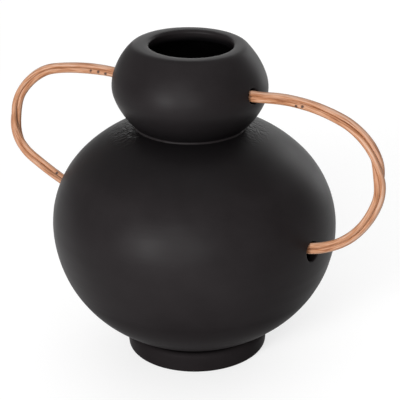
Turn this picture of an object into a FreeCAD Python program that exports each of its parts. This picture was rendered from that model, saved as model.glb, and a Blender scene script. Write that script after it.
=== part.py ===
import FreeCAD, Part
import copy
import math
import os

# Black earthenware vase of two thrown bulbs on a foot ring, with two handles,
# each of three strands of cane threaded through a hole in the neck bulb and a
# hole in the belly. Millimetres, +Z up, origin on the table under the middle
# of the foot. The handles stand out along X.

Vector = FreeCAD.Vector

# Thickness of the thrown walls
wall = 6.5

# Foot ring, thrown separately and luted under the belly. It flares a little
# towards its top, which is rolled over, and the belly sits in its inner edge.
foot_height = 16.0
foot_radius = 55.8
foot_width = 11.8
foot_flare = 0.9
foot_seat_width = 4.1
foot_edge_round = 1.6
foot_top_round = 3.4

# Belly, a flattened ball. Each half of its outline is a side arc that starts
# upright at the widest place, and an end arc that carries on to the seam or
# the foot. The shares say how large the side arc is beside the one arc that
# would do alone, and how far it turns beside the slope of the half's chord.
belly_radius = 111.1
belly_upper_height = 81.7
belly_lower_height = 89.2
belly_upper_shares = (0.924, 1.109)
belly_lower_shares = (0.977, 1.266)
floor_extra = 1.5

# Neck bulb, a smaller and flatter ball with a thick rim, drawn the same way
bulb_radius = 59.2
bulb_upper_height = 32.8
bulb_lower_height = 30.3
bulb_upper_shares = (0.722, 0.636)
bulb_lower_shares = (0.6, 0.669)
rim_radius = 42.1
rim_width = 9.6
rim_outer_round_share = 0.62
rim_inner_round_share = 0.19
mouth_depth = 8.0

# Seam between the two, with its wiped line of slip
seam_radius = 42.2
seam_width = 7.2
luting_round = 1.6

# Cane, three strands lying against each other
cane_radius = 2.05
cane_gap = 0.25
cane_tail = 22.0
strand_count = 3

# Holes for the cane, pierced through the wet wall along the cane's own line
# and wider than the bundle. A strand all but rests on the top of each hole.
neck_hole_drop = 0.2
neck_hole_play = 1.3
belly_hole_rise = 3.2
belly_hole_play = 2.75
cane_rest_gap = 0.5

# Both handles are bent a little towards the front, -Y
handle_lean_degrees = 5.1

# Each handle: the way it leaves the neck, then how far each bend turns from
# the top down. The radii of the first and last bends bring the cane to its
# belly hole, and the tighter ones between have their own. The lay is the
# angle of the first strand round the bundle at shares of the bundle's length.
right_rise_degrees = 14.0
right_turn_degrees = (31.4, 92.5, 56.7)
right_bend_radius = 43.1
right_lay_shares = (0.0, 0.3, 0.45, 0.52, 0.61, 0.68, 0.8, 1.0)
right_lay_degrees = (140.0, 120.0, 106.0, 75.0, -5.0, -8.0, -5.0, 35.0)
left_rise_degrees = 6.7
left_turn_degrees = (17.7, 72.7, 63.0, 8.5)
left_bend_radius = 55.3
left_low_bend_radius = 34.0
left_lay_shares = (0.0, 0.33, 0.42, 0.54, 0.64, 0.74, 1.0)
left_lay_degrees = (-120.0, -126.0, -160.0, -165.0, -210.0, -290.0, -340.0)

# Pairs of arcs along each strand, how far before and after the end of a pair
# the strand's direction is read, and the share of turn that counts as none
strand_span_count = 12
aim_reach = 0.5
straight_share = 1e-6

# How far a cutter runs past the wall it cuts
overrun = 10.0

# Heights and radii that follow from these
belly_middle = foot_height + belly_lower_height
seam_height = belly_middle + belly_upper_height
bulb_middle = seam_height + bulb_lower_height
height = bulb_middle + bulb_upper_height
foot_inner_radius = foot_radius - foot_width
mouth_radius = rim_radius - rim_width
throat_radius = seam_radius - seam_width
lay_radius = (2 * cane_radius + cane_gap) / (2 * math.sin(math.pi / strand_count))
bundle_radius = lay_radius + cane_radius
neck_hole_radius = bundle_radius + neck_hole_play
belly_hole_radius = bundle_radius + belly_hole_play
neck_hole_height = bulb_middle - neck_hole_drop
belly_hole_height = belly_middle + belly_hole_rise


def unit(angle):
    """The direction at that angle in the XZ plane, measured up from +X."""
    return Vector(math.cos(angle), 0, math.sin(angle))


def arc(centre, radius, start, end):
    """An arc in the XZ plane between two angles."""
    places = [centre + unit(angle) * radius for angle in (start, (start + end) / 2, end)]
    return Part.Arc(*places).toShape()


class Flank:
    """Half of a ball's outline: a side arc from its widest place, then an end arc through a given place."""

    def __init__(self, widest, middle, shares, end_radius, end_level):
        size_share, turn_share = shares
        across = widest - end_radius
        rise = end_level - middle
        self.way = math.copysign(1, rise)
        self.middle = middle
        self.turn = turn_share * math.atan2(across, abs(rise))
        self.side_radius = size_share * (across ** 2 + rise ** 2) / (2 * across)
        self.side_centre = Vector(widest - self.side_radius, 0, middle)
        ahead = unit(self.way * self.turn)
        bend = self.side_centre + ahead * self.side_radius
        gap = Vector(end_radius, 0, end_level) - bend
        self.end_arc_radius = -gap.dot(gap) / (2 * gap.dot(ahead))
        self.end_centre = bend - ahead * self.end_arc_radius

    def inset(self, depth):
        """The same outline, further in by the depth of a wall."""
        inner = copy.copy(self)
        inner.side_radius -= depth
        inner.end_arc_radius -= depth
        return inner

    def level_at(self, radius):
        """The height at which the end arc has that radius about the axis."""
        across = radius - self.end_centre.x
        return self.end_centre.z + self.way * math.sqrt(self.end_arc_radius ** 2 - across ** 2)

    def radius_at(self, level):
        """The radius about the axis at that height."""
        rise = abs(level - self.middle)
        if rise <= self.side_radius * math.sin(self.turn):
            return self.side_centre.x + math.sqrt(self.side_radius ** 2 - rise ** 2)
        rise = level - self.end_centre.z
        return self.end_centre.x + math.sqrt(self.end_arc_radius ** 2 - rise ** 2)

    def edges(self, end_radius):
        """The outline from the widest place to where it has narrowed to end_radius."""
        last = math.acos((end_radius - self.end_centre.x) / self.end_arc_radius)
        side = arc(self.side_centre, self.side_radius, 0, self.way * self.turn)
        end = arc(self.end_centre, self.end_arc_radius, self.way * self.turn, self.way * last)
        return [side, end]


def radius_of(upper, lower, level):
    """The radius of a ball of two halves at that height."""
    return upper.radius_at(level) if level > upper.middle else lower.radius_at(level)


def corners(*places):
    """Straight edges through places given as radius and height."""
    points = [Vector(radius, 0, level) for radius, level in places]
    return [Part.makeLine(start, end) for start, end in zip(points, points[1:])]


def revolve(edges):
    """A solid turned from a closed outline in the XZ plane."""
    face = Part.Face(Part.Wire(Part.sortEdges(edges)[0]))
    return face.revolve(Vector(0, 0, 0), Vector(0, 0, 1), 360)


def filled(upper, high_radius, lower, low_radius):
    """The solid ball between the two places where it has narrowed to those radii."""
    high = upper.level_at(high_radius)
    low = lower.level_at(low_radius)
    ends = corners((high_radius, high), (0, high), (0, low), (low_radius, low))
    return revolve(upper.edges(high_radius) + lower.edges(low_radius) + ends)


belly_upper = Flank(belly_radius, belly_middle, belly_upper_shares, seam_radius, seam_height)
belly_lower = Flank(belly_radius, belly_middle, belly_lower_shares,
                    foot_inner_radius + foot_seat_width, foot_height)
bulb_upper = Flank(bulb_radius, bulb_middle, bulb_upper_shares, rim_radius, height)
bulb_lower = Flank(bulb_radius, bulb_middle, bulb_lower_shares, seam_radius, seam_height)


def make_belly():
    """The belly's shell, flat inside the foot and open into the neck at its top."""
    inner_upper = belly_upper.inset(wall)
    inner_lower = belly_lower.inset(wall)
    base = belly_lower.level_at(foot_inner_radius)
    floor = base + wall + floor_extra
    floor_radius = inner_lower.radius_at(floor)
    neck = inner_upper.level_at(throat_radius)
    edges = belly_upper.edges(seam_radius) + belly_lower.edges(foot_inner_radius)
    edges += corners((seam_radius, seam_height), (throat_radius, seam_height), (throat_radius, neck))
    edges += inner_upper.edges(throat_radius) + inner_lower.edges(floor_radius)
    edges += corners((floor_radius, floor), (0, floor), (0, base), (foot_inner_radius, base))
    return revolve(edges)


def round_edges(shape, radius, level):
    """The round edges of that radius about the axis at that height."""
    slack = wall / 1000
    found = []
    for edge in shape.Edges:
        box = edge.BoundBox
        if abs(box.XMax - radius) < slack and max(box.ZMax - level, level - box.ZMin) < slack:
            found.append(edge)
    return found


def make_bulb():
    """The neck bulb's shell, with its throat, its short straight mouth and its thick rim."""
    mouth_foot = height - mouth_depth
    inner_radius = bulb_radius - wall
    inner_upper = Flank(inner_radius, bulb_middle, bulb_upper_shares, mouth_radius, mouth_foot)
    inner_lower = Flank(inner_radius, bulb_middle, bulb_lower_shares, throat_radius, seam_height)
    edges = bulb_upper.edges(rim_radius) + bulb_lower.edges(seam_radius)
    edges += corners((rim_radius, height), (mouth_radius, height), (mouth_radius, mouth_foot))
    edges += inner_upper.edges(mouth_radius) + inner_lower.edges(throat_radius)
    edges += corners((throat_radius, seam_height), (seam_radius, seam_height))
    shell = revolve(edges)
    outer_round = rim_width * rim_outer_round_share
    inner_round = rim_width * rim_inner_round_share
    shell = shell.makeFillet(outer_round, round_edges(shell, rim_radius, height))
    return shell.makeFillet(inner_round, round_edges(shell, mouth_radius, height))


def make_foot():
    """The foot ring, hollow underneath, with the belly seated in it."""
    top_radius = foot_radius + foot_flare
    outline = corners((foot_inner_radius, 0), (foot_radius, 0), (top_radius, foot_height),
                      (foot_inner_radius, foot_height), (foot_inner_radius, 0))
    ring = revolve(outline)
    ring = ring.makeFillet(foot_edge_round, round_edges(ring, foot_radius, 0))
    ring = ring.makeFillet(foot_top_round, round_edges(ring, top_radius, foot_height))
    return ring.cut(filled(belly_upper, seam_radius, belly_lower, foot_inner_radius))


def make_luting_ring():
    """The wiped line of slip in the groove between the bulb and the belly."""
    step = luting_round
    up = math.atan2(step, bulb_lower.radius_at(seam_height + step) - seam_radius)
    down = -math.atan2(step, belly_upper.radius_at(seam_height - step) - seam_radius)
    half = (up - down) / 2
    out = unit((up + down) / 2)
    apex = Vector(seam_radius, 0, seam_height)
    leg = luting_round / math.tan(half)
    high = apex + unit(up) * leg
    low = apex + unit(down) * leg
    back = apex - out * leg
    hollow = apex + out * (luting_round / math.sin(half) - luting_round)
    edges = [Part.makeLine(back, high), Part.Arc(high, hollow, low).toShape(), Part.makeLine(low, back)]
    ring = revolve(edges)
    ring = ring.cut(filled(belly_upper, seam_radius, belly_lower, foot_inner_radius))
    return ring.cut(filled(bulb_upper, rim_radius, bulb_lower, seam_radius))


class Handle:
    """One handle: its middle line, with the bends between its two holes, and its strands round that."""

    def __init__(self, out, rise_degrees, turn_degrees, bend_radii, lay_shares, lay_degrees):
        self.out = out
        self.side = out.cross(Vector(0, 0, 1))
        self.lay_shares = lay_shares
        self.lay_degrees = lay_degrees
        self.lay_slopes = self.find_slopes()
        self.turns = [math.radians(turn) for turn in turn_degrees]
        self.heading = math.radians(rise_degrees)
        self.last_heading = self.heading - sum(self.turns)
        neck_face = radius_of(bulb_upper, bulb_lower, neck_hole_height)
        belly_face = radius_of(belly_upper, belly_lower, belly_hole_height)
        self.neck_hole = (neck_face - wall / 2, neck_hole_height)
        self.belly_hole = (belly_face - wall / 2, belly_hole_height)
        self.start = self.seat(self.neck_hole, self.heading, neck_hole_radius, 0, 1)
        self.end = self.seat(self.belly_hole, self.last_heading, belly_hole_radius, 1, -1)
        self.radii = self.close(bend_radii)
        self.length = sum(turn * radius for turn, radius in zip(self.turns, self.radii))

    def find_slopes(self):
        """How fast the lay turns at each of its places: level at both ends, and else a mean."""
        rates = []
        for place in range(len(self.lay_shares) - 1):
            run = self.lay_shares[place + 1] - self.lay_shares[place]
            rates.append((self.lay_degrees[place + 1] - self.lay_degrees[place]) / run)
        return [0] + [(before + after) / 2 for before, after in zip(rates, rates[1:])] + [0]

    def lay(self, share):
        """The first strand's angle round the bundle, on a smooth curve through the given places."""
        share = min(max(share, 0), 1)
        place = 0
        while place < len(self.lay_shares) - 2 and share > self.lay_shares[place + 1]:
            place += 1
        run = self.lay_shares[place + 1] - self.lay_shares[place]
        part = (share - self.lay_shares[place]) / run
        rest = 1 - part
        degrees = rest ** 2 * (1 + 2 * part) * self.lay_degrees[place]
        degrees += part ** 2 * (1 + 2 * rest) * self.lay_degrees[place + 1]
        degrees += rest ** 2 * part * run * self.lay_slopes[place]
        degrees -= part ** 2 * rest * run * self.lay_slopes[place + 1]
        return math.radians(degrees)

    def strand_angle(self, strand, share):
        return self.lay(share) + 2 * math.pi * strand / strand_count

    def seat(self, hole, heading, hole_radius, share, side):
        """Where the bundle passes a hole's middle, raised until a strand all but rests on its top."""
        room = hole_radius - cane_radius - cane_rest_gap
        rises = []
        for strand in range(strand_count):
            angle = self.strand_angle(strand, share)
            across = lay_radius * math.sin(angle)
            rises.append(math.sqrt(room ** 2 - across ** 2) - side * lay_radius * math.cos(angle))
        rise = min(rises) * side
        return (hole[0] - rise * math.sin(heading), hole[1] + rise * math.cos(heading))

    def close(self, middle_radii):
        """The radii of all the bends, with the first and the last solved to end at the belly hole."""
        heading = self.heading
        steps = []
        for turn in self.turns:
            steps.append((math.sin(heading) - math.sin(heading - turn), math.cos(heading - turn) - math.cos(heading)))
            heading -= turn
        left_out = self.end[0] - self.start[0]
        left_up = self.end[1] - self.start[1]
        for radius, (step_out, step_up) in zip(middle_radii, steps[1:]):
            left_out -= radius * step_out
            left_up -= radius * step_up
        first_out, first_up = steps[0]
        last_out, last_up = steps[-1]
        size = first_out * last_up - last_out * first_up
        first = (left_out * last_up - left_up * last_out) / size
        last = (left_up * first_out - left_out * first_up) / size
        return [first, *middle_radii, last]

    def middle(self, distance):
        """The middle line's place and heading at a distance from the neck hole."""
        heading = self.heading
        out, up = self.start
        for turn, radius in zip(self.turns, self.radii):
            bend = min(max(distance, 0) / radius, turn)
            out += radius * (math.sin(heading) - math.sin(heading - bend))
            up += radius * (math.cos(heading - bend) - math.cos(heading))
            heading -= bend
            distance -= radius * bend
        return out + distance * math.cos(heading), up + distance * math.sin(heading), heading

    def point(self, out, up):
        return self.out * out + Vector(0, 0, up)

    def strand_point(self, strand, distance):
        """A place on one strand's own middle line."""
        out, up, heading = self.middle(distance)
        angle = self.strand_angle(strand, distance / self.length)
        over = lay_radius * math.cos(angle)
        place = self.point(out - over * math.sin(heading), up + over * math.cos(heading))
        return place + self.side * (lay_radius * math.sin(angle))

    def strand_aim(self, strand, distance):
        """The way one strand runs there."""
        before = self.strand_point(strand, distance - aim_reach)
        return (self.strand_point(strand, distance + aim_reach) - before).normalize()

    def strand_path(self, strand):
        """A straight tail inside each wall, and pairs of arcs through evenly spaced places between."""
        distances = [self.length * span / strand_span_count for span in range(strand_span_count + 1)]
        places = [self.strand_point(strand, distance) for distance in distances]
        aims = [self.strand_aim(strand, distance) for distance in distances[1:-1]]
        aims.insert(0, self.point(math.cos(self.heading), math.sin(self.heading)))
        aims.append(self.point(math.cos(self.last_heading), math.sin(self.last_heading)))
        edges = [Part.makeLine(places[0] - aims[0] * cane_tail, places[0])]
        for span in range(strand_span_count):
            edges += join(places[span], aims[span], places[span + 1], aims[span + 1])
        edges.append(Part.makeLine(places[-1], places[-1] + aims[-1] * cane_tail))
        return edges


def bow(start, ahead, end, backwards=False):
    """The arc from start to end that leaves start along ahead, or the same arc run the other way."""
    chord = end - start
    along = Vector(chord).normalize()
    across = ahead - along * ahead.dot(along)
    ends = [end, start] if backwards else [start, end]
    if across.Length < straight_share:
        return Part.makeLine(*ends)
    angle = math.asin(min(1, across.Length))
    middle = start + chord / 2 + across.normalize() * (chord.Length / 2 * math.tan(angle / 2))
    return Part.Arc(ends[0], middle, ends[1]).toShape()


def join(start, ahead, end, end_ahead):
    """Two arcs that meet tangentially, from one place and direction to the next."""
    gap = end - start
    both = ahead + end_ahead
    turn = 2 * (1 - ahead.dot(end_ahead))
    pull = gap.dot(both)
    reach = gap.dot(gap) / (pull + math.sqrt(pull ** 2 + turn * gap.dot(gap)))
    meet = (start + ahead * reach + end - end_ahead * reach) / 2
    return [bow(start, ahead, meet), bow(end, end_ahead * -1, meet, True)]


def carry(section, edge):
    """The face that a round section sweeps along an edge, and the section at the edge's far end."""
    begin = edge.valueAt(edge.FirstParameter)
    ahead = edge.tangentAt(edge.FirstParameter)
    curve = edge.Curve
    if isinstance(curve, Part.Line):
        step = ahead * edge.Length
        return section.extrude(step), section.translated(step)
    axis = (begin - curve.Center).cross(ahead).normalize()
    turn = math.degrees(edge.Length / curve.Radius)
    return section.revolve(curve.Center, axis, turn), section.rotated(curve.Center, axis, turn)


def make_strand(handle, strand):
    """One cane: its round section carried along its path."""
    path = handle.strand_path(strand)
    first = path[0]
    start = first.valueAt(first.FirstParameter)
    section = Part.makeCircle(cane_radius, start, first.tangentAt(first.FirstParameter))
    faces = [Part.Face(Part.Wire([section]))]
    for edge in path:
        face, section = carry(section, edge)
        faces.append(face)
    faces.append(Part.Face(Part.Wire([section])))
    shell = Part.Shell(faces)
    shell.sewShape()
    return Part.Solid(shell)


def pierce(handle, hole, heading, radius):
    """The cutter of one hole, along the cane's own line through the wall."""
    ahead = handle.point(math.cos(heading), math.sin(heading))
    reach = wall + overrun
    start = handle.point(*hole) - ahead * reach
    return Part.makeCylinder(radius, 2 * reach, start, ahead)


def make_parts():
    lean = math.radians(handle_lean_degrees)
    right_way = Vector(math.cos(lean), -math.sin(lean), 0)
    left_way = Vector(-math.cos(lean), -math.sin(lean), 0)
    handles = {
        "right": Handle(right_way, right_rise_degrees, right_turn_degrees, [right_bend_radius],
                        right_lay_shares, right_lay_degrees),
        "left": Handle(left_way, left_rise_degrees, left_turn_degrees, [left_bend_radius, left_low_bend_radius],
                       left_lay_shares, left_lay_degrees),
    }
    parts = {"belly": make_belly(), "neck_bulb": make_bulb(), "foot_ring": make_foot(),
             "luting_ring": make_luting_ring()}
    for name, handle in handles.items():
        neck_cutter = pierce(handle, handle.neck_hole, handle.heading, neck_hole_radius)
        belly_cutter = pierce(handle, handle.belly_hole, handle.last_heading, belly_hole_radius)
        parts["neck_bulb"] = parts["neck_bulb"].cut(neck_cutter)
        parts["belly"] = parts["belly"].cut(belly_cutter)
        for strand in range(strand_count):
            parts[f"{name}_cane_{strand + 1}"] = make_strand(handle, strand)
        start = handle.point(*handle.start)
        end = handle.point(*handle.end)
        print(name, "hinge from", tuple(start), "towards", tuple((end - start).normalize()))
        print(name, "bend radii", handle.radii, "length", handle.length)
    return parts


os.makedirs("parts", exist_ok=True)
for name, shape in make_parts().items():
    if len(shape.Solids) == 1:
        shape = shape.Solids[0]
    shape.exportStep(f"parts/{name}.step")
    print(name, len(shape.Solids), "solid", round(shape.Volume), "cubic mm", shape.isValid())
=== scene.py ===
import math

import bmesh
import bpy
from mathutils import Matrix, Vector, noise
from mathutils.bvhtree import BVHTree


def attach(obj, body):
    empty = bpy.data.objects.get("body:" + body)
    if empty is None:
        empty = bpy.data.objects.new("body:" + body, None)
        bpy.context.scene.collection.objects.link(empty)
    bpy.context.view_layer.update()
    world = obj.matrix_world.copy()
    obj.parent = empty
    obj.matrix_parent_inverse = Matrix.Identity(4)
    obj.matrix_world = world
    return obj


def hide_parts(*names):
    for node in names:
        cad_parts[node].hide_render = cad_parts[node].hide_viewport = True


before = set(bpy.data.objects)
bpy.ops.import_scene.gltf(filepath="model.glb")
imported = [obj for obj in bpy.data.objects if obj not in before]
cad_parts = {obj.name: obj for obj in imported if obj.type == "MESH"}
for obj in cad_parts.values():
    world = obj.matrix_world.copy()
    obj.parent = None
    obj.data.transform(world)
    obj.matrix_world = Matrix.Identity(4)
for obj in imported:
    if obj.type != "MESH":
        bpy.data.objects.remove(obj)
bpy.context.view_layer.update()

# A black earthenware vase of two thrown bulbs on a foot ring. Two handles of
# twisted cane are threaded through pierced holes. Metres, +Z up, the handles
# along X. Sizes are those of the solids, apart from the wear, the unevenness
# and the left handle's twist, which follow the photograph.
mm = 0.001

# Thrown walls
wall = 6.5 * mm
foot_height = 16.0 * mm
foot_radius = 55.8 * mm
foot_width = 11.8 * mm
foot_flare = 0.9 * mm
foot_seat_width = 4.1 * mm
foot_edge_round = 1.6 * mm
foot_top_round = 3.4 * mm
foot_crease = 1.2 * mm
belly_radius = 111.1 * mm
belly_upper_height = 81.7 * mm
belly_lower_height = 89.2 * mm
belly_upper_shares = (0.924, 1.109)
belly_lower_shares = (0.977, 1.266)
floor_extra = 1.5 * mm
bulb_radius = 59.2 * mm
bulb_upper_height = 32.8 * mm
bulb_lower_height = 30.3 * mm
bulb_upper_shares = (0.722, 0.636)
bulb_lower_shares = (0.6, 0.669)
rim_radius = 42.1 * mm
rim_width = 9.6 * mm
rim_outer_round = 7.5 * mm
rim_inner_round = 2.2 * mm
lip_bead = 0.8 * mm
mouth_depth = 8.0 * mm
seam_radius = 42.2 * mm
seam_width = 7.2 * mm
bead_radius = 1.5 * mm
smear_reach = 9.0 * mm
seam_shade = 32.0 * mm
rubbed_above = 100.0 * mm
rubbed_blend = 38.0 * mm

# What shows on the slip: how dark the painted shade in the groove is, how many
# roundings of the lip down the painted shade inside begins, and how the smears
# gather at two sides of the neck
groove_painted_shade = 0.85
lip_roundings = 1.3
smear_gather = 4
smear_least = 0.05

# What hands left: how far each thrown piece sways, over which length, and the
# soft rings from the fingers
belly_sway = 0.35 * mm
bulb_sway = 0.25 * mm
foot_sway = 0.15 * mm
sway_wave = 90 * mm
finger_wave = 7 * mm
finger_share = 0.3
finger_wander = 0.6

# The bead of slip: how much it swells, lumps and sways, and in how many waves
bead_swell = 0.2
bead_swell_waves = 3.1
bead_lumps = 0.12
bead_side_lumps = 0.25
bead_lump_waves = 11.0
bead_sway = 0.35 * mm
bead_sway_waves = 2.3

# Cane and its holes
cane_radius = 2.05 * mm
cane_gap = 0.25 * mm
cane_tail = 22.0 * mm
strand_count = 3
neck_hole_drop = 0.2 * mm
neck_hole_play = 1.3 * mm
belly_hole_rise = 3.2 * mm
belly_hole_play = 2.75 * mm
cane_rest_gap = 0.5 * mm
pressed_share = 0.94
swollen_share = 1.07
stray_size = 0.35 * mm
stray_seed = 7
stray_wave = 24 * mm
least_size_share = 0.985
uneven_share = 0.025
uneven_wave = 11 * mm
knot_share = 0.03
knot_length = 1.5 * mm
cut_end_share = 0.9
grain_apart = 0.4
hole_edge_round = 0.9 * mm
neck_hole_wear = 0.5 * mm
belly_hole_wear = -0.3 * mm
belly_hole_spread = 0.3 * mm
hole_margin = 1.0 * mm
walls_past = 3
sharpest_fold = 0.7
lift_reach = 16.0 * mm
handle_lean_degrees = 5.1

# How it set crooked while it dried: the way that the low side of the belly faces,
# and the low side that the neck bulb has besides, how far each drops for each
# metre out, and which way and how far the neck bulb stands off
belly_low_degrees = -3.2
belly_drop_share = 0.0236
bulb_low_degrees = -30.2
bulb_drop_share = 0.0235
bulb_shift_degrees = 213.2
bulb_shift = 0.8 * mm
blend_height = 10.0 * mm

# The mouth was not opened quite in the middle: the way it stands off, and how far
mouth_degrees = 20.0
mouth_shift = 1.7 * mm

# The camera, fitted to the outlines in the photograph: how far it stands to the
# side, above and tilted, how far off, and its lens in points of the picture
azimuth_degrees = 33.2
elevation_degrees = 23.248
roll_degrees = 1.44
camera_distance = 0.9743
target_height = 125 * mm
focal_points = 1242.9
shift_points = (6.15, -2.39)
picture_points = 400
film_width = 36

# The studio
table_size = 6.0
table_glow = 0.66
world_light = 0.4

# Each handle: the way it leaves the neck, how far each bend turns from the top
# down, the radii of the tighter bends, the strands' angle round the bundle at
# shares of its length, and each strand's knots: how far from the neck hole, and
# at which angle round the strand.
right_rise_degrees = 14.0
right_lift = 1.5 * mm
right_turn_degrees = (31.4, 92.5, 56.7)
right_bend_radii = (43.1 * mm,)
right_lay_shares = (0.0, 0.3, 0.45, 0.52, 0.61, 0.68, 0.8, 1.0)
right_lay_degrees = (140.0, 120.0, 106.0, 75.0, -5.0, -8.0, -5.0, 35.0)
right_knots = (((42.0 * mm, 0), (47.2 * mm, 20)), (), ())
left_rise_degrees = 6.7
left_lift = 0.0
left_turn_degrees = (17.7, 72.7, 63.0, 8.5)
left_bend_radii = (55.3 * mm, 34.0 * mm)
left_lay_shares = (0.0, 0.33, 0.42, 0.52, 0.6, 0.71, 1.0)
left_lay_degrees = (-120.0, -126.0, -160.0, -170.0, -220.0, -285.0, -340.0)
left_knots = (((17.0 * mm, 175), (23.5 * mm, 160), (30.5 * mm, 155)), ((198.0 * mm, 200),), ())

# Without a seed the strands would stray another way in each run
noise.seed_set(stray_seed)

# Places that follow from these
belly_middle = foot_height + belly_lower_height
seam_height = belly_middle + belly_upper_height
bulb_middle = seam_height + bulb_lower_height
height = bulb_middle + bulb_upper_height
foot_inner_radius = foot_radius - foot_width
mouth_radius = rim_radius - rim_width
throat_radius = seam_radius - seam_width
lay_radius = (2 * cane_radius + cane_gap) / (2 * math.sin(math.pi / strand_count))
neck_hole_radius = lay_radius + cane_radius + neck_hole_play
belly_hole_radius = lay_radius + cane_radius + belly_hole_play
neck_hole_height = bulb_middle - neck_hole_drop
belly_hole_height = belly_middle + belly_hole_rise

# How finely things are turned
turn_steps = 224
outline_step = 2.2 * mm
strand_step = 1.25 * mm
strand_sides = 20
hole_sides = 48
hole_edge_steps = 5
bead_steps = 360
bead_sides = 14
up = Vector((0, 0, 1))
belly_low, bulb_low, bulb_way, mouth_way = [
    Vector((math.cos(math.radians(degrees)), math.sin(math.radians(degrees)), 0))
    for degrees in (belly_low_degrees, bulb_low_degrees, bulb_shift_degrees, mouth_degrees)]


# Materials


def linear(hex_colour):
    """A colour written as sRGB hex, as the linear RGBA that a shader takes."""
    values = [int(hex_colour[place:place + 2], 16) / 255 for place in (1, 3, 5)]
    return [v / 12.92 if v <= 0.04045 else ((v + 0.055) / 1.055) ** 2.4 for v in values] + [1.0]


def node(tree, kind, settings=None, stops=(), **inputs):
    """Adds a node, sets its properties and colour stops, and fills or links its inputs."""
    made = tree.nodes.new("ShaderNode" + kind)
    for name, value in (settings or {}).items():
        setattr(made, name, value)
    for count, (place, colour) in enumerate(stops):
        elements = made.color_ramp.elements
        element = elements[count] if count < len(elements) else elements.new(place)
        element.position = place
        element.color = linear(colour)
    for name, value in inputs.items():
        socket = made.inputs[int(name[1:])] if name[0] == "_" else made.inputs[name.replace("_", " ")]
        if isinstance(value, bpy.types.NodeSocket):
            tree.links.new(value, socket)
        else:
            socket.default_value = value
    return made


def new_material(name):
    """A material, its nodes and its shader."""
    material = bpy.data.materials.new(name)
    material.use_nodes = True
    return material, material.node_tree, material.node_tree.nodes["Principled BSDF"]


def burnished_slip():
    # Earthenware dipped in black slip, rubbed while leather hard and smoked:
    # matt with one wide soft gleam, fine clay grain, faint rings from the
    # wheel, cloudy patches where the rubbing was lighter, and wrinkles of slip
    # beside the groove. Low down it was not rubbed and has no gleam. In the
    # groove under the neck bulb and inside the mouth, shade is painted in as
    # a blacker colour.
    material, tree, shader = new_material("burnished_slip")
    place = node(tree, "TexCoord").outputs["Object"]
    clouds = node(tree, "TexNoise", Vector=place, Scale=1 / (45 * mm), Detail=3.0, Roughness=0.6)
    grain = node(tree, "TexNoise", Vector=place, Scale=1 / (0.9 * mm), Detail=4.0, Roughness=0.65)
    flat = node(tree, "Mapping", Vector=place, Scale=(0.12, 0.12, 1.0))
    rings = node(tree, "TexNoise", Vector=flat.outputs["Vector"], Scale=1 / (2.4 * mm), Detail=2.0)
    tone = node(tree, "Mix", {"data_type": "FLOAT"}, _0=0.3, _2=clouds.outputs[0], _3=grain.outputs[0])
    colour = node(tree, "ValToRGB", None, ((0.3, "#1B1819"), (0.75, "#242122")), Fac=tone.outputs[0])
    unrubbed = node(tree, "Attribute", {"attribute_name": "unrubbed"}).outputs["Fac"]
    # Painted shade: the colour goes towards near black in the groove and deep inside the mouth
    painted_shade = node(tree, "Attribute", {"attribute_name": "painted_shade"}).outputs["Fac"]
    shown = node(tree, "Mix", {"data_type": "RGBA"}, _0=painted_shade, _6=colour.outputs["Color"], _7=linear("#0B0A0B"))
    tree.links.new(shown.outputs[2], shader.inputs["Base Color"])
    shine = node(tree, "MapRange", Value=unrubbed, _3=0.07, _4=0.008)
    tree.links.new(shine.outputs[0], shader.inputs["Specular IOR Level"])
    gloss = node(tree, "MapRange", Value=tone.outputs[0], _1=0.3, _2=0.7, _3=0.37, _4=0.46)
    tree.links.new(gloss.outputs[0], shader.inputs["Roughness"])
    fine = node(tree, "Bump", Strength=0.35, Distance=0.06 * mm, Height=grain.outputs[0])
    wheel = node(tree, "Bump", Strength=0.5, Distance=0.1 * mm, Height=rings.outputs[0],
                 Normal=fine.outputs["Normal"])
    smear = node(tree, "Attribute", {"attribute_name": "smear"}).outputs["Fac"]
    creases = node(tree, "TexNoise", Vector=place, Scale=1 / (6 * mm), Detail=2.0, Distortion=1.5)
    wiped = node(tree, "Math", {"operation": "MULTIPLY"}, _0=smear, _1=creases.outputs[0])
    wrinkles = node(tree, "Bump", Strength=1.0, Distance=2.0 * mm, Height=wiped.outputs[0],
                    Normal=wheel.outputs["Normal"])
    tree.links.new(wrinkles.outputs["Normal"], shader.inputs["Normal"])
    return material


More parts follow.
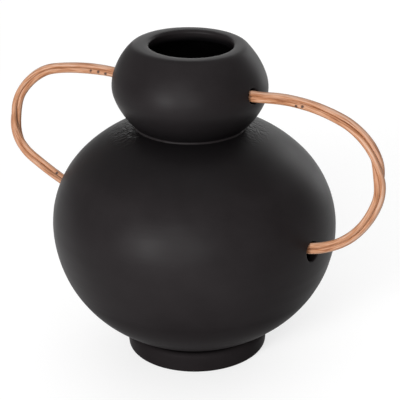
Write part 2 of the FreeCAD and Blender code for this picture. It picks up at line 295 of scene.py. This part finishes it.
def peeled_cane():
    # Round core of rattan with its skin off: warm tan, streaks and fine pores
    # along its length, a grey painted sheen on the outside of the bend where
    # the light from above falls, dark flecks at the knots. Each strand keeps
    # its places as before it was bent.
    material, tree, shader = new_material("peeled_cane")
    straight = node(tree, "Attribute", {"attribute_name": "straight"}).outputs["Vector"]
    along = node(tree, "Mapping", Vector=straight, Scale=(1.0, 1.0, 0.035))
    fibres = node(tree, "TexNoise", Vector=along.outputs["Vector"], Scale=1 / (0.4 * mm), Detail=3.0,
                  Roughness=0.6)
    length = node(tree, "Mapping", Vector=straight, Scale=(1.0, 1.0, 0.05))
    streaks = node(tree, "TexNoise", Vector=length.outputs["Vector"], Scale=1 / (0.85 * mm), Detail=2.0)
    tone = node(tree, "Mix", {"data_type": "FLOAT"}, _0=0.6, _2=fibres.outputs[0], _3=streaks.outputs[0])
    tan = node(tree, "ValToRGB", None, ((0.36, "#784424"), (0.45, "#A36E4A"), (0.53, "#B48262"),
                                        (0.62, "#C09B83")), Fac=tone.outputs[0])
    # Painted sheen: the tan turns grey on the outside of the bend, where the light from above falls
    outside = node(tree, "Attribute", {"attribute_name": "painted_sheen"}).outputs["Fac"]
    sheen_streaks = node(tree, "Math", {"operation": "MULTIPLY"}, _0=outside, _1=streaks.outputs[0])
    grey = node(tree, "MapRange", Value=sheen_streaks.outputs[0], _1=0.25, _2=0.65, _4=0.6)
    tan = node(tree, "Mix", {"data_type": "RGBA"}, _0=grey.outputs[0], _6=tan.outputs["Color"],
               _7=linear("#A88F80"))
    mark = node(tree, "Attribute", {"attribute_name": "knot"}).outputs["Fac"]
    ragged = node(tree, "Math", {"operation": "MULTIPLY"}, _0=mark, _1=fibres.outputs[0])
    stain = node(tree, "MapRange", Value=ragged.outputs[0], _1=0.2, _2=0.36)
    marked = node(tree, "Mix", {"data_type": "RGBA"}, _0=stain.outputs[0], _6=tan.outputs[2],
                  _7=linear("#3A241A"))
    tree.links.new(marked.outputs[2], shader.inputs["Base Color"])
    shader.inputs["Roughness"].default_value = 0.6
    lines = node(tree, "Bump", Strength=0.6, Distance=0.12 * mm, Height=fibres.outputs[0])
    tree.links.new(lines.outputs["Normal"], shader.inputs["Normal"])
    return material


slip = burnished_slip()
cane = peeled_cane()


# Outlines


def share(value):
    """A value held between 0 and 1."""
    return min(max(value, 0), 1)


def unit(angle):
    """The direction at that angle in the XZ plane, measured up from +X."""
    return Vector((math.cos(angle), 0, math.sin(angle)))


class Flank:
    """Half of a ball's outline: a side arc from its widest place, then an end arc through a given place."""

    def __init__(self, widest, middle, shares, end_radius, end_level, depth=0.0):
        size_share, turn_share = shares
        across = widest - end_radius
        rise = end_level - middle
        self.way = math.copysign(1, rise)
        self.middle = middle
        self.turn = turn_share * math.atan2(across, abs(rise))
        side_radius = size_share * (across ** 2 + rise ** 2) / (2 * across)
        self.side_centre = Vector((widest - side_radius, 0, middle))
        ahead = unit(self.way * self.turn)
        bend = self.side_centre + ahead * side_radius
        gap = Vector((end_radius, 0, end_level)) - bend
        end_arc_radius = -gap.dot(gap) / (2 * gap.dot(ahead))
        self.end_centre = bend - ahead * end_arc_radius
        self.side_radius = side_radius - depth
        self.end_arc_radius = end_arc_radius - depth

    def radius_at(self, level):
        """The radius about the axis at that height."""
        rise = abs(level - self.middle)
        if rise <= self.side_radius * math.sin(self.turn):
            return self.side_centre.x + math.sqrt(self.side_radius ** 2 - rise ** 2)
        rise = level - self.end_centre.z
        return self.end_centre.x + math.sqrt(self.end_arc_radius ** 2 - rise ** 2)

    def level_at(self, radius):
        """The height at which the end arc has that radius about the axis."""
        across = radius - self.end_centre.x
        return self.end_centre.z + self.way * math.sqrt(self.end_arc_radius ** 2 - across ** 2)

    def angle_at(self, radius):
        """How far round the end arc has narrowed to that radius."""
        return self.way * math.acos((radius - self.end_centre.x) / self.end_arc_radius)


class Outline:
    """A chain of edges in the XZ plane, drawn on from its last place, and turned into a skin."""

    def __init__(self, radius, level):
        self.bm = bmesh.new()
        self.tip = self.bm.verts.new((radius, 0, level))

    def line(self, radius, level):
        """A straight run of short edges."""
        start = self.tip.co.copy()
        end = Vector((radius, 0, level))
        steps = max(1, round((end - start).length / outline_step))
        for step in range(steps):
            self.tip = bmesh.ops.extrude_vert_indiv(self.bm, verts=[self.tip])["verts"][0]
            self.tip.co = start.lerp(end, (step + 1) / steps)

    def arc(self, centre, start, end):
        """A round run about a centre, between angles measured up from +X."""
        steps = max(4, round(abs(end - start) * (self.tip.co - centre).length / outline_step))
        turned = bmesh.ops.spin(self.bm, geom=[self.tip], cent=centre, axis=(0, 1, 0), angle=start - end,
                                steps=steps)
        self.tip = turned["geom_last"][0]

    def rise(self, flank, last):
        """From the widest place along the side arc, and the end arc as far as that angle."""
        self.arc(flank.side_centre, 0, flank.way * flank.turn)
        self.arc(flank.end_centre, flank.way * flank.turn, last)

    def fall(self, flank, last):
        """The same, back to the widest place."""
        self.arc(flank.end_centre, last, flank.way * flank.turn)
        self.arc(flank.side_centre, flank.way * flank.turn, 0)

    def turned(self):
        """The closed skin that the outline makes, turned full circle, with its faces outwards."""
        bm = self.bm
        bmesh.ops.remove_doubles(bm, verts=bm.verts, dist=0.01 * mm)
        bmesh.ops.spin(bm, geom=bm.verts[:] + bm.edges[:], cent=(0, 0, 0), axis=(0, 0, 1),
                       angle=2 * math.pi, steps=turn_steps, use_merge=True)
        bmesh.ops.remove_doubles(bm, verts=bm.verts, dist=0.01 * mm)
        bmesh.ops.recalc_face_normals(bm, faces=bm.faces)
        return bm


def skin(bm, rings):
    """Faces through closed rings of places, one after the other. Returns the rings of vertices."""
    made = [bmesh.ops.create_circle(bm, segments=len(rings[0]), radius=1)["verts"]]
    for ring in rings[1:]:
        before = made[-1]
        edges = [bm.edges.get((vert, before[count - 1])) for count, vert in enumerate(before)]
        fresh = set(bmesh.ops.extrude_edge_only(bm, edges=edges)["geom"])
        made.append([next(edge.other_vert(vert) for edge in vert.link_edges if edge.other_vert(vert) in fresh)
                     for vert in before])
    for verts, ring in zip(made, rings):
        for vert, place in zip(verts, ring):
            vert.co = place
    return made


def make_object(bm, name, body, material, stands_for):
    """A finished piece: smooth, in its material, riding on a body in place of its solid."""
    for face in bm.faces:
        face.smooth = True
    if material is slip:
        bm.normal_update()
        unrubbed = bm.verts.layers.float.new("unrubbed")
        painted_shade = bm.verts.layers.float.new("painted_shade")
        smear = bm.verts.layers.float.new("smear")
        for vert in bm.verts:
            out = Vector((vert.co.x, vert.co.y, 0)).normalized()
            from_seam = abs(vert.co.z - seam_height)
            # Painted shade: darker colour deep inside the mouth and in the groove under the neck bulb, where
            # shade falls
            depth = share((height - lip_roundings * rim_inner_round - vert.co.z) / rim_inner_round)
            inside = share(-2 * vert.normal.dot(out)) * depth
            by_seam = groove_painted_shade * share(1 - from_seam / seam_shade) * (name != "slip_bead")
            gathered = share(abs(out.dot(bulb_way)) * smear_gather - (smear_gather - 1))
            vert[painted_shade] = max(inside, by_seam)
            vert[unrubbed] = max(inside, share((rubbed_above - vert.co.z) / rubbed_blend))
            vert[smear] = share(1 - from_seam / smear_reach) * max(gathered, smear_least)
    mesh = bpy.data.meshes.new(name)
    bm.to_mesh(mesh)
    bm.free()
    mesh.materials.append(material)
    piece = bpy.data.objects.new(name, mesh)
    bpy.context.scene.collection.objects.link(piece)
    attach(piece, body)
    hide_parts(stands_for)


# The thrown pieces

belly_upper = (belly_radius, belly_middle, belly_upper_shares, seam_radius, seam_height)
belly_lower = (belly_radius, belly_middle, belly_lower_shares, foot_inner_radius + foot_seat_width,
               foot_height)
bulb_upper = (bulb_radius, bulb_middle, bulb_upper_shares, rim_radius, height)
bulb_lower = (bulb_radius, bulb_middle, bulb_lower_shares, seam_radius, seam_height)


def make_belly():
    """The belly's shell, flat inside the foot and open into the neck at its top."""
    upper, lower = Flank(*belly_upper), Flank(*belly_lower)
    inner_upper, inner_lower = Flank(*belly_upper, wall), Flank(*belly_lower, wall)
    base = lower.level_at(foot_inner_radius)
    floor = base + wall + floor_extra
    corner = inner_lower.radius_at(floor)
    outline = Outline(0, base)
    outline.line(foot_inner_radius, base)
    outline.fall(lower, lower.angle_at(foot_inner_radius))
    outline.rise(upper, upper.angle_at(seam_radius))
    outline.line(throat_radius, seam_height)
    outline.line(throat_radius, inner_upper.level_at(throat_radius))
    outline.fall(inner_upper, inner_upper.angle_at(throat_radius))
    outline.rise(inner_lower, inner_lower.angle_at(corner))
    outline.line(0, floor)
    return outline.turned()


def make_bulb():
    """The neck bulb's shell, with its throat, its short straight mouth and its thick rolled rim."""
    upper, lower = Flank(*bulb_upper), Flank(*bulb_lower)
    inner = bulb_radius - wall
    mouth_foot = height - mouth_depth
    inner_upper = Flank(inner, bulb_middle, bulb_upper_shares, mouth_radius, mouth_foot)
    inner_lower = Flank(inner, bulb_middle, bulb_lower_shares, throat_radius, seam_height)
    reach = upper.end_arc_radius - rim_outer_round
    rise = height - rim_outer_round - upper.end_centre.z
    outer_centre = upper.end_centre + Vector((math.sqrt(reach ** 2 - rise ** 2), 0, rise))
    meet = math.asin(rise / reach)
    inner_centre = Vector((mouth_radius - lip_bead + rim_inner_round, 0, height - rim_inner_round))
    tuck = math.pi + math.acos(1 - lip_bead / rim_inner_round)
    outline = Outline(throat_radius, seam_height)
    outline.line(seam_radius, seam_height)
    outline.fall(lower, lower.angle_at(seam_radius))
    outline.rise(upper, meet)
    outline.arc(outer_centre, meet, math.pi / 2)
    outline.line(inner_centre.x, height)
    outline.arc(inner_centre, math.pi / 2, tuck)
    outline.line(mouth_radius, mouth_foot)
    outline.fall(inner_upper, inner_upper.angle_at(mouth_radius))
    outline.rise(inner_lower, inner_lower.angle_at(throat_radius))
    return outline.turned()


def make_foot():
    """The foot ring, hollow underneath, its top edge rolled over and creased where the belly sits in it."""
    lower = Flank(*belly_lower, 0.5 * mm)
    tilt = math.atan2(foot_flare, foot_height)
    low = Vector((foot_radius - foot_edge_round, 0, foot_edge_round))
    high = Vector((foot_radius + foot_flare - foot_top_round, 0, foot_height - foot_top_round))
    fold = math.radians(115)
    outline = Outline(foot_inner_radius, foot_edge_round / 2)
    outline.line(foot_inner_radius + foot_edge_round / 2, 0)
    outline.line(low.x, 0)
    outline.arc(low, -math.pi / 2, -tilt)
    outline.line(*(high + unit(-tilt) * foot_top_round).xz)
    outline.arc(high, -tilt, fold)
    seat = foot_height - foot_crease
    outline.line(lower.radius_at(seat), seat)
    outline.line(foot_inner_radius, lower.level_at(foot_inner_radius))
    outline.line(foot_inner_radius, foot_edge_round / 2)
    return outline.turned()


def make_bead():
    """The line of slip wiped round the groove between the bulb and the belly."""
    bm = bmesh.new()
    rings = []
    for step in range(bead_steps):
        turn = 2 * math.pi * step / bead_steps
        out = Vector((math.cos(turn), math.sin(turn), 0))
        lumps = bead_lumps + bead_side_lumps * abs(out.dot(bulb_way)) ** 6
        size = bead_radius * (1 + bead_swell * noise.noise(out * bead_swell_waves)
                              + lumps * noise.noise(out * bead_lump_waves))
        centre = out * seam_radius + up * (seam_height + bead_sway * noise.noise(out * bead_sway_waves))
        rings.append([centre + (out * math.cos(part) + up * math.sin(part)) * size
                      for part in [2 * math.pi * side / bead_sides for side in range(bead_sides)]])
    skin(bm, rings)
    bmesh.ops.bridge_loops(bm, edges=[edge for edge in bm.edges if edge.is_boundary])
    bmesh.ops.recalc_face_normals(bm, faces=bm.faces)
    return bm


def handmade(bm, sway, seed):
    """Moves a thrown skin by the little that hands leave: wide waves, and soft rings from the fingers."""
    shift = Vector((seed * 7.3, seed * 3.1, seed * 5.7))
    for vert in bm.verts:
        out = Vector((vert.co.x, vert.co.y, 0))
        if out.length > mm:
            out.normalize()
            wide = noise.noise(vert.co / sway_wave + shift)
            rings = noise.noise(up * (vert.co.z / finger_wave) + out * finger_wander + shift)
            vert.co += out * sway * (wide + finger_share * rings)


def settle(bm):
    """Moves what stands on the foot as it set, one side a little lower than the other."""
    for vert in bm.verts:
        in_belly = share((vert.co.z - foot_height) / belly_lower_height)
        in_bulb = share((vert.co.z - seam_height) / bulb_lower_height)
        drop = belly_low * (belly_drop_share * in_belly) + bulb_low * (bulb_drop_share * in_bulb)
        shifted = share((vert.co.z - seam_height) / blend_height + 1)
        vert.co.z -= drop.dot(vert.co)
        vert.co += bulb_way * (bulb_shift * shifted)
        within = (rim_radius + wall - math.hypot(vert.co.x, vert.co.y)) / (rim_width + wall)
        opened = share((vert.co.z - bulb_middle) / bulb_upper_height) * share(within)
        vert.co += mouth_way * (mouth_shift * opened)


# Handles


class Handle:
    """One handle: its middle line, with the bends between its two holes, and its strands round that."""

    def __init__(self, way, lift, rise_degrees, turn_degrees, bend_radii, lay_shares, lay_degrees):
        lean = math.radians(handle_lean_degrees)
        self.out = Vector((way * math.cos(lean), -math.sin(lean), 0))
        self.side = self.out.cross(up)
        self.lift = lift
        self.lay_shares = lay_shares
        self.lay_degrees = lay_degrees
        rates = [(after - before) / (end - start) for before, after, start, end
                 in zip(lay_degrees, lay_degrees[1:], lay_shares, lay_shares[1:])]
        self.lay_slopes = [0] + [(before + after) / 2 for before, after in zip(rates, rates[1:])] + [0]
        self.turns = [math.radians(turn) for turn in turn_degrees]
        self.heading = math.radians(rise_degrees)
        self.last_heading = self.heading - sum(self.turns)
        neck_face = Flank(*bulb_lower).radius_at(neck_hole_height)
        belly_face = Flank(*belly_upper).radius_at(belly_hole_height)
        self.neck_hole = (neck_face - wall / 2, neck_hole_height)
        self.belly_hole = (belly_face - wall / 2, belly_hole_height)
        self.start = self.seat(self.neck_hole, self.heading, neck_hole_radius, 0, 1)
        self.end = self.seat(self.belly_hole, self.last_heading, belly_hole_radius, 1, -1)
        self.radii = self.close(bend_radii)
        self.length = sum(turn * radius for turn, radius in zip(self.turns, self.radii))

    def lay(self, along):
        """The first strand's angle round the bundle, on a smooth curve through the given places."""
        along = share(along)
        place = 0
        while place < len(self.lay_shares) - 2 and along > self.lay_shares[place + 1]:
            place += 1
        run = self.lay_shares[place + 1] - self.lay_shares[place]
        part = (along - self.lay_shares[place]) / run
        rest = 1 - part
        degrees = rest ** 2 * (1 + 2 * part) * self.lay_degrees[place]
        degrees += part ** 2 * (1 + 2 * rest) * self.lay_degrees[place + 1]
        degrees += rest ** 2 * part * run * self.lay_slopes[place]
        degrees -= part ** 2 * rest * run * self.lay_slopes[place + 1]
        return math.radians(degrees)

    def seat(self, hole, heading, hole_radius, along, side):
        """Where the bundle passes a hole's middle, raised until a strand all but rests on its top."""
        room = hole_radius - cane_radius - cane_rest_gap
        rises = []
        for strand in range(strand_count):
            angle = self.lay(along) + 2 * math.pi * strand / strand_count
            across = lay_radius * math.sin(angle)
            rises.append(math.sqrt(room ** 2 - across ** 2) - side * lay_radius * math.cos(angle))
        rise = min(rises) * side
        return (hole[0] - rise * math.sin(heading), hole[1] + rise * math.cos(heading))

    def close(self, middle_radii):
        """The radii of all the bends, with the first and the last solved to end at the belly hole."""
        heading = self.heading
        steps = []
        for turn in self.turns:
            steps.append((math.sin(heading) - math.sin(heading - turn),
                          math.cos(heading - turn) - math.cos(heading)))
            heading -= turn
        left_out = self.end[0] - self.start[0]
        left_up = self.end[1] - self.start[1]
        for radius, (step_out, step_up) in zip(middle_radii, steps[1:]):
            left_out -= radius * step_out
            left_up -= radius * step_up
        (first_out, first_up), (last_out, last_up) = steps[0], steps[-1]
        size = first_out * last_up - last_out * first_up
        first = (left_out * last_up - left_up * last_out) / size
        last = (left_up * first_out - left_out * first_up) / size
        return [first, *middle_radii, last]

    def middle(self, distance):
        """The middle line's place and heading at a distance from the neck hole."""
        heading = self.heading
        out, level = self.start
        for turn, radius in zip(self.turns, self.radii):
            bend = min(max(distance, 0) / radius, turn)
            out += radius * (math.sin(heading) - math.sin(heading - bend))
            level += radius * (math.cos(heading - bend) - math.cos(heading))
            heading -= bend
            distance -= radius * bend
        return out + distance * math.cos(heading), level + distance * math.sin(heading), heading

    def point(self, out, level):
        """A place in the handle's plane, that far out from the axis and that high."""
        return self.out * out + up * level

    def strand_point(self, strand, distance):
        """A place on one strand's own middle line."""
        out, level, heading = self.middle(distance)
        angle = self.lay(distance / self.length) + 2 * math.pi * strand / strand_count
        over = pressed_share * lay_radius * math.cos(angle)
        level += self.lift * min(max(1 - distance / lift_reach, 0), 2) ** 2
        place = self.point(out - over * math.sin(heading), level + over * math.cos(heading))
        place += self.side * (pressed_share * lay_radius * math.sin(angle))
        free = share(distance / lift_reach) * share((self.length - distance) / lift_reach)
        stray = noise.noise_vector(Vector((strand * 7.7 + self.out.x * 3, 0, distance / stray_wave)))
        return place + stray * (stray_size * free)


def make_strand(handle, strand, knots):
    """One cane from inside the neck bulb to inside the belly, a little uneven, thicker at its knots."""
    bm = bmesh.new()
    straight = bm.verts.layers.float_vector.new("straight")
    knot = bm.verts.layers.float.new("knot")
    painted_sheen = bm.verts.layers.float.new("painted_sheen")
    steps = round((handle.length + 2 * cane_tail) / strand_step)
    corners = [unit(2 * math.pi * side / strand_sides) for side in range(strand_sides)]
    rings, notes = [], []
    for step in range(steps + 1):
        distance = -cane_tail + step * strand_step
        place = handle.strand_point(strand, distance)
        ahead = (handle.strand_point(strand, distance + strand_step / 4)
                 - handle.strand_point(strand, distance - strand_step / 4)).normalized()
        across = (handle.side - ahead * handle.side.dot(ahead)).normalized()
        over = across.cross(ahead)
        marks = [sum(math.exp(-((distance - knot_at) / knot_length) ** 2)
                     * share(corner.dot(unit(math.radians(angle)))) ** 3 for knot_at, angle in knots)
                 for corner in corners]
        seed = Vector((strand * 5.1 + handle.out.x * 9, 0, distance / uneven_wave))
        size = cane_radius * swollen_share * (least_size_share + uneven_share * noise.noise(seed)
                                              + knot_share * max(marks))
        if step in (0, steps):
            size *= cut_end_share
        ring = [place + (across * corner.x + over * corner.z) * size for corner in corners]
        out, level, heading = handle.middle(distance)
        rings.append(ring)
        notes.append((distance + strand * grain_apart, handle.point(out, level),
                      handle.point(-math.sin(heading), math.cos(heading)), marks))
    for verts, (distance, centre, outside, marks) in zip(skin(bm, rings), notes):
        for vert, corner, mark in zip(verts, corners, marks):
            # Painted sheen: marked on the outside of each bend, which the light from above reaches
            vert[painted_sheen] = share((vert.co - centre).dot(outside) / (2 * cane_radius))
            vert[straight] = Vector((corner.x * cane_radius, corner.z * cane_radius, distance))
            vert[knot] = mark
    bmesh.ops.holes_fill(bm, edges=[edge for edge in bm.edges if edge.is_boundary])
    bmesh.ops.recalc_face_normals(bm, faces=bm.faces)
    return bm


def pierce(bm, handle, hole, heading, radius, wear):
    """Opens a round hole through a wall along the cane's line, its edges rounded by a wet finger."""
    centre = handle.point(*hole) + up * wear
    ahead = handle.point(math.cos(heading), math.sin(heading))
    over = ahead.cross(handle.side)
    ways = [handle.side * math.cos(turn) + over * math.sin(turn)
            for turn in [2 * math.pi * side / hole_sides for side in range(hole_sides)]]
    tree = BVHTree.FromBMesh(bm)
    rings = {1: [], -1: []}
    for sense, made in rings.items():
        for step in range(hole_edge_steps + 1):
            turn = math.pi / 2 * step / hole_edge_steps
            reach = radius + hole_edge_round * (1 - math.sin(turn))
            sink = hole_edge_round * (1 - math.cos(turn)) * sense
            ring = []
            for way in ways:
                start = centre + way * reach
                hit = tree.ray_cast(start - ahead * sense * walls_past * wall, ahead * sense)[0]
                ring.append(start + ahead * ((hit - start).dot(ahead) + sink))
            made.append(ring)
    margin = radius + hole_edge_round + hole_margin
    doomed = set()
    for vert in bm.verts:
        gap = vert.co - centre
        along = gap.dot(ahead)
        if abs(along) < walls_past * wall and (gap - ahead * along).length < margin:
            doomed.update(vert.link_faces)
    bmesh.ops.delete(bm, geom=list(doomed), context="FACES")
    hems = {sense: [edge for edge in bm.edges
                    if edge.is_boundary and edge.link_faces[0].normal.dot(ahead) * sense < 0]
            for sense in rings}
    made = skin(bm, rings[1] + rings[-1][::-1])
    for sense, ring in ((1, made[0]), (-1, made[-1])):
        rim = [bm.edges.get((vert, ring[count - 1])) for count, vert in enumerate(ring)]
        bmesh.ops.triangle_fill(bm, edges=hems[sense] + rim, use_beauty=True, normal=ahead)
    # Straight stretches of the old mesh can leave flat slivers, whose long sides are turned
    folded = [True]
    while folded:
        bmesh.ops.recalc_face_normals(bm, faces=bm.faces)
        folded = [edge for edge in bm.edges
                  if [len(face.verts) for face in edge.link_faces] == [3, 3]
                  and edge.calc_face_angle() > sharpest_fold]
        if folded:
            longest = max(folded, key=lambda edge: edge.calc_length())
            bmesh.ops.rotate_edges(bm, edges=[longest], use_ccw=False)


belly, bulb, foot, bead = make_belly(), make_bulb(), make_foot(), make_bead()
handmade(belly, belly_sway, 1)
handmade(bulb, bulb_sway, 2)
handmade(foot, foot_sway, 3)
for thrown in (belly, bulb, bead):
    settle(thrown)
right_handle = Handle(1, right_lift, right_rise_degrees, right_turn_degrees, right_bend_radii, right_lay_shares,
                      right_lay_degrees)
left_handle = Handle(-1, left_lift, left_rise_degrees, left_turn_degrees, left_bend_radii, left_lay_shares,
                     left_lay_degrees)
for name, handle, knots in (("right", right_handle, right_knots), ("left", left_handle, left_knots)):
    pierce(bulb, handle, handle.neck_hole, handle.heading, neck_hole_radius, handle.lift + neck_hole_wear)
    pierce(belly, handle, handle.belly_hole, handle.last_heading, belly_hole_radius + belly_hole_spread,
           belly_hole_wear)
    for strand in range(strand_count):
        make_object(make_strand(handle, strand, knots[strand]), f"{name}_strand_{strand + 1}",
                    f"{name}_handle", cane, f"{name}_cane_{strand + 1}")
make_object(belly, "thrown_belly", "vessel", slip, "belly")
make_object(bulb, "thrown_neck_bulb", "vessel", slip, "neck_bulb")
make_object(foot, "thrown_foot_ring", "vessel", slip, "foot_ring")
make_object(bead, "slip_bead", "vessel", slip, "luting_ring")


# Studio


def white_table():
    # Matt white acrylic, lit a little from below. The glow shows to the camera,
    # in what mirrors the table and through what is clear, and nowhere else.
    material, tree, shader = new_material("white_table")
    shader.inputs["Base Color"].default_value = linear("#A6A6A6")
    shader.inputs["Roughness"].default_value = 0.9
    shader.inputs["Emission Color"].default_value = linear("#FFFFFF")
    path = node(tree, "LightPath").outputs
    seen = node(tree, "Math", {"operation": "MAXIMUM"}, _0=path["Is Camera Ray"],
                _1=path["Is Glossy Ray"])
    seen = node(tree, "Math", {"operation": "MAXIMUM"}, _0=seen.outputs[0],
                _1=path["Is Transmission Ray"])
    glow = node(tree, "Math", {"operation": "MULTIPLY"}, _0=seen.outputs[0], _1=table_glow)
    tree.links.new(glow.outputs[0], shader.inputs["Emission Strength"])
    return material


ground = bmesh.new()
bmesh.ops.create_grid(ground, x_segments=1, y_segments=1, size=table_size)
mesh = bpy.data.meshes.new("ground")
ground.to_mesh(mesh)
ground.free()
mesh.materials.append(white_table())
floor = bpy.data.objects.new("ground", mesh)
bpy.context.scene.collection.objects.link(floor)

world = bpy.data.worlds.new("studio")
bpy.context.scene.world = world
world.use_nodes = True
world.node_tree.nodes["Background"].inputs["Color"].default_value = linear("#FFFFFF")
world.node_tree.nodes["Background"].inputs["Strength"].default_value = world_light

azimuth, elevation, roll = (math.radians(degrees) for degrees in
                            (azimuth_degrees, elevation_degrees, roll_degrees))
back = Vector((math.sin(azimuth) * math.cos(elevation), -math.cos(azimuth) * math.cos(elevation),
               math.sin(elevation)))
right = Vector((math.cos(azimuth), math.sin(azimuth), 0))
over = back.cross(right)
target = Vector((0, 0, target_height))


def soft_light(name, across, upward, towards, distance, width, tall, power):
    """A soft box, placed by how far right of, above and before the vase the camera has it."""
    light = bpy.data.lights.new(name, "AREA")
    light.shape = "RECTANGLE"
    light.size = width
    light.size_y = tall
    light.energy = power
    lamp = bpy.data.objects.new(name, light)
    away = right * across + up * upward + Vector((back.x, back.y, 0)).normalized() * towards
    away.normalize()
    lamp.matrix_world = (Matrix.Translation(target + away * distance)
                         @ away.to_track_quat("Z", "Y").to_matrix().to_4x4())
    bpy.context.scene.collection.objects.link(lamp)


# Each one's place, how far off it is, its width and height, and its power
soft_light("key", -0.56, 0.23, 0.8, 1.7, 0.5, 0.4, 20)
soft_light("fill", 0.0, 0.25, 1.0, 1.7, 0.6, 0.4, 8)
soft_light("high", -0.25, 0.62, 1.0, 1.7, 0.5, 0.3, 5)
soft_light("right_box", 1.0, 0.3, -1.05, 1.6, 0.4, 1.2, 4.2)
soft_light("behind", 0.2, 0.38, -1.0, 2.2, 2.4, 1.3, 14)
soft_light("overhead", 0.0, 1.0, 0.1, 2.0, 2.0, 2.0, 5)

lens = bpy.data.cameras.new("camera")
lens.lens = focal_points / picture_points * film_width
lens.shift_x, lens.shift_y = [shift / picture_points for shift in shift_points]
lens.dof.use_dof = False
camera = bpy.data.objects.new("camera", lens)
bpy.context.scene.collection.objects.link(camera)
turned_right = right * math.cos(roll) - over * math.sin(roll)
turned_over = right * math.sin(roll) + over * math.cos(roll)
pose = Matrix((turned_right, turned_over, back)).transposed().to_4x4()
pose.translation = target + back * camera_distance
camera.matrix_world = pose
bpy.context.scene.camera = camera
bpy.context.scene.view_settings.view_transform = "Standard"
